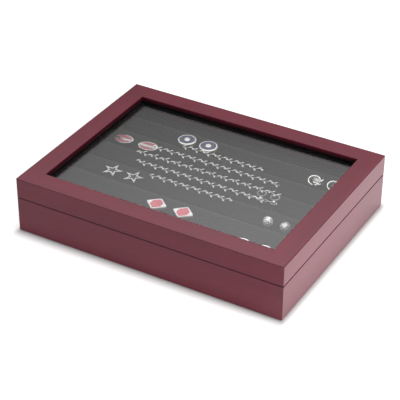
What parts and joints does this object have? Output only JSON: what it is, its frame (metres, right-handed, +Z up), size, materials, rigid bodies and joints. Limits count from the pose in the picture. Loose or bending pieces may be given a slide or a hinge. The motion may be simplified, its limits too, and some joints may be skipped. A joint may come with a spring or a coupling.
{
  "type": "cufflink box",
  "caption": "Glazed wooden display box for cufflinks: a shallow base with velvet rolls, and a hinged lid that is a wooden frame round a glass pane.",
  "frame": {"origin": "centre of the case's footprint, on the surface that the felt rests on", "axes": "+X to the right along the front, +Y to the hinges at the rear, +Z up"},
  "size_m": [0.2666, 0.2078, 0.0558],
  "materials": {
    "cherry_wood": "dark cherry stain under satin lacquer",
    "black_bead": "matt black",
    "panel_board": "stained board",
    "grey_card": "plain board",
    "felt": "pressed felt",
    "velvet": "short pile velvet",
    "glass": "clear polished pane",
    "brass": "brushed and lacquered",
    "silver": "polished rhodium plate",
    "blue_enamel": "gloss enamel",
    "red_enamel": "gloss enamel",
    "white_enamel": "gloss enamel",
    "pearl": "mother of pearl sheen"
  },
  "bodies": {
    "base": {"base_front_wall": "cherry_wood", "base_hinge_screws": "brass", "base_left_wall": "cherry_wood", "base_rear_wall": "cherry_wood", "base_right_wall": "cherry_wood", "bottom_panel": "panel_board", "hinge_pin_left": "brass", "hinge_pin_right": "brass", "insert_board": "grey_card", "liner_front": "velvet", "liner_left": "velvet", "liner_rear": "velvet", "liner_right": "velvet", "lower_hinge_leaf_left": "brass", "lower_hinge_leaf_right": "brass", "underside_felt": "felt", "velvet_half_roll_front": "velvet", "velvet_half_roll_rear": "velvet", "velvet_roll_1": "velvet", "velvet_roll_2": "velvet", "velvet_roll_3": "velvet", "velvet_roll_4": "velvet", "velvet_roll_5": "velvet", "velvet_roll_6": "velvet"},
    "lid": {"lid_front_rail": "cherry_wood", "lid_rear_rail": "cherry_wood", "lid_left_rail": "cherry_wood", "lid_right_rail": "cherry_wood", "glazing_bead_front": "black_bead", "glazing_bead_rear": "black_bead", "glazing_bead_left": "black_bead", "glazing_bead_right": "black_bead", "glass_pane": "glass", "upper_hinge_leaf_left": "brass", "upper_hinge_leaf_right": "brass", "lid_hinge_screws": "brass"},
    "disc_pair": {"disc_heads": "silver", "disc_toggles": "silver", "disc_enamel": "blue_enamel"},
    "knot_pair": {"knot_heads": "silver", "knot_toggles": "silver"},
    "oval_pair": {"oval_heads": "silver", "oval_toggles": "silver", "oval_enamel": "red_enamel"},
    "link_pair": {"link_heads": "silver", "link_toggles": "silver"},
    "star_pair": {"star_heads": "silver", "star_toggles": "silver"},
    "ball_pair": {"ball_heads": "silver", "ball_toggles": "silver"},
    "lozenge_pair": {"lozenge_heads": "silver", "lozenge_toggles": "silver", "lozenge_middles": "red_enamel", "lozenge_tips": "white_enamel"},
    "pearl_pair": {"pearl_heads": "silver", "pearl_toggles": "silver", "pearls": "pearl"}
  },
  "joints": [
    {"name": "lid_hinge", "type": "hinge", "parent": "base", "child": "lid", "pos_m": [0, 0.1035, 0.0357], "axis": [-1, 0, 0], "range_deg": [0, 95]},
    {"name": "disc_pair_lift", "type": "slide", "parent": "base", "child": "disc_pair", "axis": [0, 0, 1], "range_m": [0, 0.003]},
    {"name": "knot_pair_lift", "type": "slide", "parent": "base", "child": "knot_pair", "axis": [0, 0, 1], "range_m": [0, 0.003]},
    {"name": "oval_pair_lift", "type": "slide", "parent": "base", "child": "oval_pair", "axis": [0, 0, 1], "range_m": [0, 0.003]},
    {"name": "link_pair_lift", "type": "slide", "parent": "base", "child": "link_pair", "axis": [0, 0, 1], "range_m": [0, 0.003]},
    {"name": "star_pair_lift", "type": "slide", "parent": "base", "child": "star_pair", "axis": [0, 0, 1], "range_m": [0, 0.003]},
    {"name": "ball_pair_lift", "type": "slide", "parent": "base", "child": "ball_pair", "axis": [0, 0, 1], "range_m": [0, 0.003]},
    {"name": "lozenge_pair_lift", "type": "slide", "parent": "base", "child": "lozenge_pair", "axis": [0, 0, 1], "range_m": [0, 0.003]},
    {"name": "pearl_pair_lift", "type": "slide", "parent": "base", "child": "pearl_pair", "axis": [0, 0, 1], "range_m": [0, 0.003]}
  ]
}
